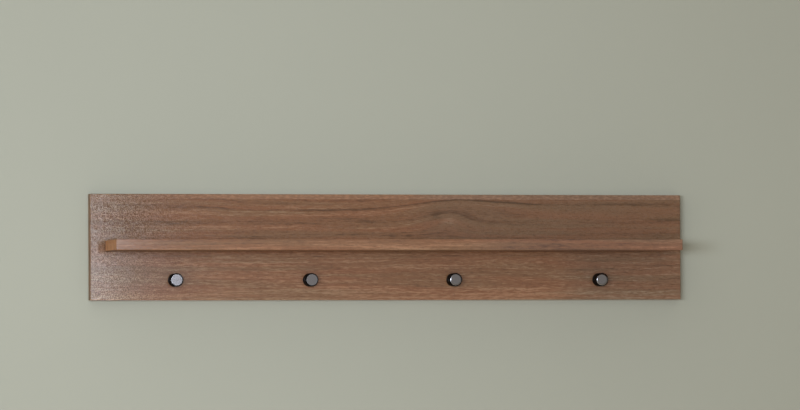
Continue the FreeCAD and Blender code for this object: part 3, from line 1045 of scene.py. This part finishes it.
# %% [markdown]
# ## Pegs
# Each peg is a short black bar whose flat front is polished bright. The rounded edge between
# them catches the lamp on its left. The bar has a tapped hole behind, cut by the same thread
# formula as the screw that fills it, a tenth of a millimetre larger.

# %% Shape of the pegs
PEG_EDGE = 2.0
PEG_HOLE_DEPTH = 12.5
PEG_HOLE_BEVEL = 0.5
PEG_THREAD_CREST = 3.0
PEG_THREAD_DEPTH = 0.55
PEG_THREAD_PITCH = 1.0
PEG_THREAD_MARGIN = 0.6
FIT = 0.1
PEG_COLUMNS = 64
EDGE_ROWS = 9
PEG_SIDE_SHARES = (0.04, 0.5, 0.96)
PEG_FACE_SHARES = (0.97, 0.7, 0.4, 0.15)


def make_peg(name):
    """Hole bottom, hole wall, foot, side, quarter-round edge and face, one ring to each row.

    On the edge, along = edge - length - edge sin a, and radius = face + edge cos a.
    """
    length, radius = round_sizes(name)
    hole = PEG_THREAD_CREST + FIT
    face = radius - PEG_EDGE
    pairs = [(-PEG_HOLE_DEPTH, 0), (-PEG_HOLE_DEPTH, hole - PEG_THREAD_DEPTH)]
    pairs += thread_rows(PEG_THREAD_MARGIN - PEG_HOLE_DEPTH, -PEG_THREAD_MARGIN, hole,
                         PEG_THREAD_DEPTH, PEG_THREAD_PITCH, PEG_COLUMNS)
    pairs += [(0, hole + PEG_HOLE_BEVEL), (0, radius)]
    pairs += [(-share * (length - PEG_EDGE), radius) for share in PEG_SIDE_SHARES]
    pairs += [(PEG_EDGE - length - PEG_EDGE * math.sin(a), face + PEG_EDGE * math.cos(a))
              for a in np.linspace(0, np.pi / 2, EDGE_ROWS)]
    pairs += [(-length, face * share) for share in PEG_FACE_SHARES]
    pairs += [(-length, 0)]
    return turned_piece(name, "_turned", pairs, PEG_COLUMNS)


pegs = [make_peg(name) for name in peg_names]
print(len(pegs), "pegs of", len(pegs[0].data.polygons), "faces")

# %% [markdown]
# ## Metal finishes
# Bright metal shows two faint marks: smudges that change how sharp a reflection is, and hair
# lines from the last tool. Both are noise, and one group gives them to every metal here. The
# hair lines run where the group's stretch says: round a turned face, or along a pressed plate.

# %% Metal group
SMUDGE_FROM = 0.30
SMUDGE_TO = 0.70


def make_worked_metal():
    """Smudge = soft noise of the position; Lines = noise of the stretched position."""
    group, given, result = new_group("worked_metal", [
        ("Position", VECTOR, None), ("Stretch", VECTOR, None), ("Smudges Per Metre", FLOAT, 120.0)],
        [("Smudge", FLOAT), ("Lines", FLOAT)])
    smudge = noise(group, scaled(group, given["Position"], given["Smudges Per Metre"]), detail=3.0)
    join(group, ramp(group, smudge, SMUDGE_FROM, SMUDGE_TO), result["Smudge"])
    product = add_node(group, "ShaderNodeVectorMath", operation="MULTIPLY")
    join(group, given["Position"], product.inputs[0])
    join(group, given["Stretch"], product.inputs[1])
    join(group, noise(group, product.outputs[0], detail=2.0), result["Lines"])
    return group


worked_metal = make_worked_metal()
print("group", worked_metal.name, "of", len(worked_metal.nodes), "nodes")

# %% [markdown]
# The peg's material tells its zones apart by the distance along the profile, counted back from
# the middle of the face. A second material on picked faces would do it too, but with a hard
# border. The face is bare dark metal, the start of the rounded edge is brighter, and the rest is
# black. Hands and straps wear some pegs more than others: an attribute says how much, and with
# it the bare zone reaches further round the edge.

# %% Colours of the pegs
FACE_COLOUR = (0.205, 0.195, 0.202, 1)
RIM_COLOUR = (0.400, 0.392, 0.400, 1)
BLACK_LACQUER = (0.004, 0.004, 0.004, 1)
FACE_RADIUS = 9.0
RIM_BEFORE = 0.1
RIM_AFTER = 0.15
RIM_WIDTH = 0.02
WORN_WIDTH = 0.55
METAL_FADE = 0.12

peg_mesh = pegs[0].data
profile_length = peg_mesh.attributes["profile_mm"].data[len(peg_mesh.vertices) - 1].value
material, tree, shader, place = new_material("peg_finish")
travelled = add_node(tree, "ShaderNodeAttribute", attribute_name="profile_mm").outputs["Fac"]
from_middle = maths(tree, "SUBTRACT", profile_length, travelled)
wear = add_node(tree, "ShaderNodeAttribute", attribute_name="wear").outputs["Fac"]
rim_end = maths(tree, "MULTIPLY_ADD", wear, WORN_WIDTH, FACE_RADIUS + RIM_WIDTH)
metal = ramp(tree, maths(tree, "SUBTRACT", from_middle, rim_end), 0.0, METAL_FADE, 1.0, 0.0)
rim = ramp(tree, from_middle, FACE_RADIUS - RIM_BEFORE, FACE_RADIUS + RIM_AFTER)
bright = mix_colour(tree, rim, FACE_COLOUR, RIM_COLOUR)
join(tree, mix_colour(tree, metal, BLACK_LACQUER, bright), shader.inputs["Base Color"])
join(tree, metal, shader.inputs["Metallic"])
print("a peg's profile is", round(profile_length, 1), "mm long, bare up to", FACE_RADIUS, "mm")

# %% [markdown]
# Smudges change how sharply the face mirrors the room, and the bright rim is polished a little
# finer. The black lacquer round the side is dull and reflects very little.

# %% Roughness of the pegs
FACE_ROUGHNESS = 0.172
SMUDGE_ROUGHNESS = 0.006
RIM_POLISH = 0.04
BLACK_ROUGHNESS = 0.50
PEG_STRETCH = (700.0, 40.0, 700.0)
PEG_SMUDGES_PER_METRE = 160.0

worn = use_group(tree, worked_metal, Position=place, Stretch=PEG_STRETCH,
                 Smudges_Per_Metre=PEG_SMUDGES_PER_METRE)
rough = maths(tree, "MULTIPLY_ADD", worn["Smudge"], SMUDGE_ROUGHNESS, FACE_ROUGHNESS)
rough = maths(tree, "SUBTRACT", rough, maths(tree, "MULTIPLY", rim, RIM_POLISH))
join(tree, mix_value(tree, metal, BLACK_ROUGHNESS, rough), shader.inputs["Roughness"])
set_plain(shader, Specular_IOR_Level=0.02)
print("face roughness from", FACE_ROUGHNESS, "and black from", BLACK_ROUGHNESS)

# %% [markdown]
# Fine rings from the lathe finish the face. Wear rounds it off towards its edge as well: past a
# set distance from the middle, the surface falls by the square of what is left. Both are finer
# than a pixel, so a bump gives them. Each peg's own wear is written into its mesh, from the
# left peg to the right one, and so one material serves all four.

# %% Lathe marks and wear
LATHE_PITCH = 0.35
TOOL_MARKS = 0.00012
ROUNDING_START = 7.6
ROUNDING = 0.18
WEAR = (0.0, 0.0, 0.5, 1.15)

lathe = maths(tree, "SINE", maths(tree, "MULTIPLY", from_middle, 2 * math.pi / LATHE_PITCH))
past = maths(tree, "MAXIMUM", maths(tree, "SUBTRACT", from_middle, ROUNDING_START), 0.0)
rounding = maths(tree, "MULTIPLY", wear, -ROUNDING)
rounding = maths(tree, "MULTIPLY", maths(tree, "MULTIPLY", past, past), rounding)
tool_marks = maths(tree, "MULTIPLY", maths(tree, "ADD", lathe, worn["Lines"]), TOOL_MARKS)
relief = maths(tree, "ADD", rounding, tool_marks)
add_bump(tree, shader, relief, strength=1.0, distance=MM)
for peg, worn_by in zip(pegs, WEAR):
    peg.data.materials.append(material)
    wear_attribute = peg.data.attributes.new("wear", "FLOAT", "POINT")
    wear_attribute.data.foreach_set("value", np.full(len(peg.data.vertices), worn_by, dtype=np.float32))
print("peg finish on", len(pegs), "pegs")

# %% [markdown]
# ## Screws
# The screws are hidden once the shelf is together, all but their heads behind. They are turned
# with real threads all the same, because a part of this kind is also looked at in pieces. A
# driver socket is a ring whose radius follows a hexagon or a cross instead of a circle.

# %% Driver sockets
SCREW_COLUMNS = 48
SCREW_TURN = np.arange(SCREW_COLUMNS) * 2 * np.pi / SCREW_COLUMNS


def hexagon(flats):
    """Radius of a hexagon: half its flats / cos(angle from the middle of a side)."""
    from_side = (SCREW_TURN % (np.pi / 3)) - np.pi / 6
    return flats / 2 / np.cos(from_side)


def cross(span, width):
    """Radius of a cross: the larger of two bars', each the nearer of its end and its side."""
    cosine = np.maximum(np.abs(np.cos(SCREW_TURN)), 1e-6)
    sine = np.maximum(np.abs(np.sin(SCREW_TURN)), 1e-6)
    level = np.minimum(span / 2 / cosine, width / 2 / sine)
    upright = np.minimum(span / 2 / sine, width / 2 / cosine)
    return np.maximum(level, upright)


print("sockets of", SCREW_COLUMNS, "columns")

# %% [markdown]
# A button head is a low dome on a short straight rim, round a six-sided socket. The dome's
# profile is part of an ellipse, taken where it is still steep enough to meet the rim.

# %% Dome of a button head
DOME_SHARE = 0.9


def dome_drop(share):
    """(1 - sqrt(1 - 0.9 share^2)) / (1 - sqrt(0.1)): an ellipse's drop, from 0 to 1."""
    return (1 - math.sqrt(1 - share ** 2 * DOME_SHARE)) / (1 - math.sqrt(1 - DOME_SHARE))


print("halfway out, the dome has dropped by", round(dome_drop(0.5), 3), "of its height")

# %% [markdown]
# One profile makes the whole screw, from the bottom of its socket out over the head and down the
# thread to the bevelled end. The thread is the one that the peg's tapped hole was cut with.

# %% Machine screws
BUTTON_HEIGHT = 3.3
BUTTON_RIM = 0.9
BUTTON_CROWN = 3.4
DOME_ROWS = 6
HEX_FLATS = 4.0
HEX_DEPTH = 2.0
HEX_POINT = 0.4
HEX_BEVEL = 0.1
HEX_FLOOR_SHARE = 0.96
HEX_MOUTH_SHARE = 1.04
HEAD_BEVEL = 0.15
MACHINE_LEAD = 0.5
MACHINE_POINT = 0.9
MACHINE_POINT_CUT = 0.8


def make_button_screw(name):
    """A machine screw: six-sided socket, domed head, thread and bevelled end."""
    length, head = round_sizes(name)
    socket = hexagon(HEX_FLATS)
    pairs = [(-HEX_DEPTH - HEX_POINT, 0), (-HEX_DEPTH, socket * HEX_FLOOR_SHARE)]
    pairs += [(-HEX_BEVEL, socket), (0, socket * HEX_MOUTH_SHARE)]
    pairs += [((BUTTON_RIM - BUTTON_HEIGHT) * dome_drop(share), BUTTON_CROWN + (head - BUTTON_CROWN) * share)
              for share in np.linspace(0, 1, DOME_ROWS)]
    pairs += [(HEAD_BEVEL - BUTTON_HEIGHT, head), (-BUTTON_HEIGHT, head - HEAD_BEVEL)]
    pairs += [(-BUTTON_HEIGHT, PEG_THREAD_CREST)]
    pairs += thread_rows(-BUTTON_HEIGHT - MACHINE_LEAD, MACHINE_POINT - length, PEG_THREAD_CREST,
                         PEG_THREAD_DEPTH, PEG_THREAD_PITCH, SCREW_COLUMNS)
    pairs += [(-length, PEG_THREAD_CREST - MACHINE_POINT_CUT), (-length, 0)]
    return turned_piece(name, "_threaded", pairs, SCREW_COLUMNS)


peg_screws = [make_button_screw(f"peg_screw_{number}") for number in range(1, 5)]
print(len(peg_screws), "machine screws of", len(peg_screws[0].data.polygons), "faces")

# %% [markdown]
# Wood screws are pointed and countersunk. Two sizes are used here, a long one for the ledge and
# a short one for the plates, so one function takes their sizes from a small table, in
# millimetres: the span and width of the cross, its depth, the pitch and the plain neck.

# %% Wood screws
LEDGE_SCREW = {"diameter": 4.0, "span": 4.6, "width": 1.1, "recess": 1.6, "pitch": 1.8, "neck": 12.0}
PLATE_SCREW = {"diameter": 3.5, "span": 3.6, "width": 0.9, "recess": 1.1, "pitch": 1.4, "neck": 0.5}
RECESS_POINT = 0.4
RECESS_FLOOR_SHARE = 0.8
RIM_BEVEL = 0.1
RIM_TOP = 0.15
RIM_FOOT = 0.3
WOOD_LEAD = 0.3
WOOD_DEPTH_SHARE = 0.22
WOOD_POINT_SHARE = 1.25
TIP_SHARES = (0.3, 0.6, 0.85)
TIP_BLUNTNESS = 1.5


def make_wood_screw(name, diameter, span, width, recess, pitch, neck):
    """Cross recess, rim, cone, plain neck, thread, and a tip of radius crest sqrt(1 - s^1.5)."""
    length, head = round_sizes(name)
    crest = diameter / 2
    point = WOOD_POINT_SHARE * diameter
    socket = cross(span, width)
    cone_end = head - crest + RIM_FOOT
    pairs = [(-recess - RECESS_POINT, 0), (-recess, socket * RECESS_FLOOR_SHARE), (0, socket)]
    pairs += [(0, head - RIM_BEVEL), (-RIM_TOP, head), (-RIM_FOOT, head)]
    pairs += [(-cone_end, crest), (-cone_end - neck, crest)]
    pairs += thread_rows(-cone_end - neck - WOOD_LEAD, point - length, crest,
                         WOOD_DEPTH_SHARE * diameter, pitch, SCREW_COLUMNS)
    pairs += [(point * (1 - share) - length, crest * math.sqrt(1 - share ** TIP_BLUNTNESS))
              for share in TIP_SHARES]
    pairs += [(-length, 0)]
    return turned_piece(name, "_threaded", pairs, SCREW_COLUMNS)


wood_screws = [make_wood_screw(f"ledge_screw_{number}", **LEDGE_SCREW) for number in range(1, 5)]
wood_screws += [make_wood_screw(f"hanger_screw_{hand}_{level}", **PLATE_SCREW)
                for hand in ("left", "right") for level in ("upper", "lower")]
print(len(wood_screws), "wood screws")

# %% [markdown]
# ## Zinc
# Screws, washers and plates are zinc plated: a pale grey with a faint blue and straw tint that
# drifts over the surface. The plates are pressed from sheet, so their hair lines run lengthwise.

# %% Zinc materials
ZINC_COOL = (0.56, 0.58, 0.60, 1)
ZINC_STRAW = (0.60, 0.57, 0.48, 1)
ZINC_SMUDGES_PER_METRE = 220.0
ZINC_LINE_ROUGHNESS = 0.16
ZINC_SMUDGE_ROUGHNESS = 0.08
ZINC_RELIEF = 0.05 * MM
TURNED_STRETCH = (300.0, 900.0, 300.0)
PRESSED_STRETCH = (2600.0, 400.0, 60.0)


def zinc(name, stretch, roughness):
    """Plated steel: metallic, its tint and roughness changed by smudges and hair lines."""
    material, tree, shader, place = new_material(name)
    worn = use_group(tree, worked_metal, Position=place, Stretch=stretch,
                     Smudges_Per_Metre=ZINC_SMUDGES_PER_METRE)
    join(tree, mix_colour(tree, worn["Smudge"], ZINC_COOL, ZINC_STRAW), shader.inputs["Base Color"])
    set_plain(shader, Metallic=1.0)
    rough = maths(tree, "MULTIPLY_ADD", worn["Lines"], ZINC_LINE_ROUGHNESS, roughness)
    rough = maths(tree, "MULTIPLY_ADD", worn["Smudge"], ZINC_SMUDGE_ROUGHNESS, rough)
    join(tree, rough, shader.inputs["Roughness"])
    add_bump(tree, shader, worn["Lines"], strength=0.1, distance=ZINC_RELIEF)
    return material


fastener_zinc = zinc("fastener_zinc", TURNED_STRETCH, roughness=0.26)
plate_zinc = zinc("plate_zinc", PRESSED_STRETCH, roughness=0.30)
for screw in peg_screws + wood_screws:
    screw.data.materials.append(fastener_zinc)
give(fastener_zinc, [f"peg_washer_{number}" for number in range(1, 5)])
give(plate_zinc, ["hanger_plate_left", "hanger_plate_right"])

# %% [markdown]
# ## Dowels
# A shop-bought dowel is beech, with straight flutes that let glue and air escape. Twelve shallow
# waves round the ring cut the flutes, and they fade out at the bevelled ends.

# %% Dowels
DOWEL_COLUMNS = 96
FLUTES = 12
FLUTE_DEPTH = 0.35
DOWEL_BEVEL = 0.9
DOWEL_SHARES = (0.3, 0.5, 0.7)


def make_dowel(name):
    """Radius = outer - depth x cos^2(half the flutes x angle), with plain bevelled ends."""
    length, radius = round_sizes(name)
    angle = np.arange(DOWEL_COLUMNS) * 2 * np.pi / DOWEL_COLUMNS
    fluted = radius - FLUTE_DEPTH * np.cos(FLUTES / 2 * angle) ** 2
    narrow = radius - DOWEL_BEVEL
    pairs = [(0, 0), (0, narrow), (-DOWEL_BEVEL, fluted)]
    pairs += [(-length * share, fluted) for share in DOWEL_SHARES]
    pairs += [(DOWEL_BEVEL - length, fluted), (-length, narrow), (-length, 0)]
    return turned_piece(name, "_fluted", pairs, DOWEL_COLUMNS)


dowels = [make_dowel(f"ledge_dowel_{number}") for number in range(1, 6)]
print(len(dowels), "dowels of", len(dowels[0].data.polygons), "faces")

# %% [markdown]
# Beech is pale and even, with short dark flecks along the dowel, which lies across the boards.
# The flecks are the same stretched noise as the walnut's, with the long way turned along Y.

# %% Beech
BEECH_PALE = (0.62, 0.42, 0.25, 1)
BEECH_DEEP = (0.46, 0.28, 0.15, 1)
BEECH_FLECKS_PER_METRE = (900.0, 120.0, 900.0)
BEECH_FROM = 0.35
BEECH_TO = 0.65
BEECH_RELIEF = 0.05 * MM

material, tree, shader, place = new_material("beech")
fleck = stretched(tree, split(tree, place), BEECH_FLECKS_PER_METRE, detail=2.0)
colour = mix_colour(tree, ramp(tree, fleck, BEECH_FROM, BEECH_TO), BEECH_PALE, BEECH_DEEP)
join(tree, colour, shader.inputs["Base Color"])
set_plain(shader, Roughness=0.65)
add_bump(tree, shader, fleck, strength=0.2, distance=BEECH_RELIEF)
for dowel in dowels:
    dowel.data.materials.append(material)
print("beech on", len(dowels), "dowels")
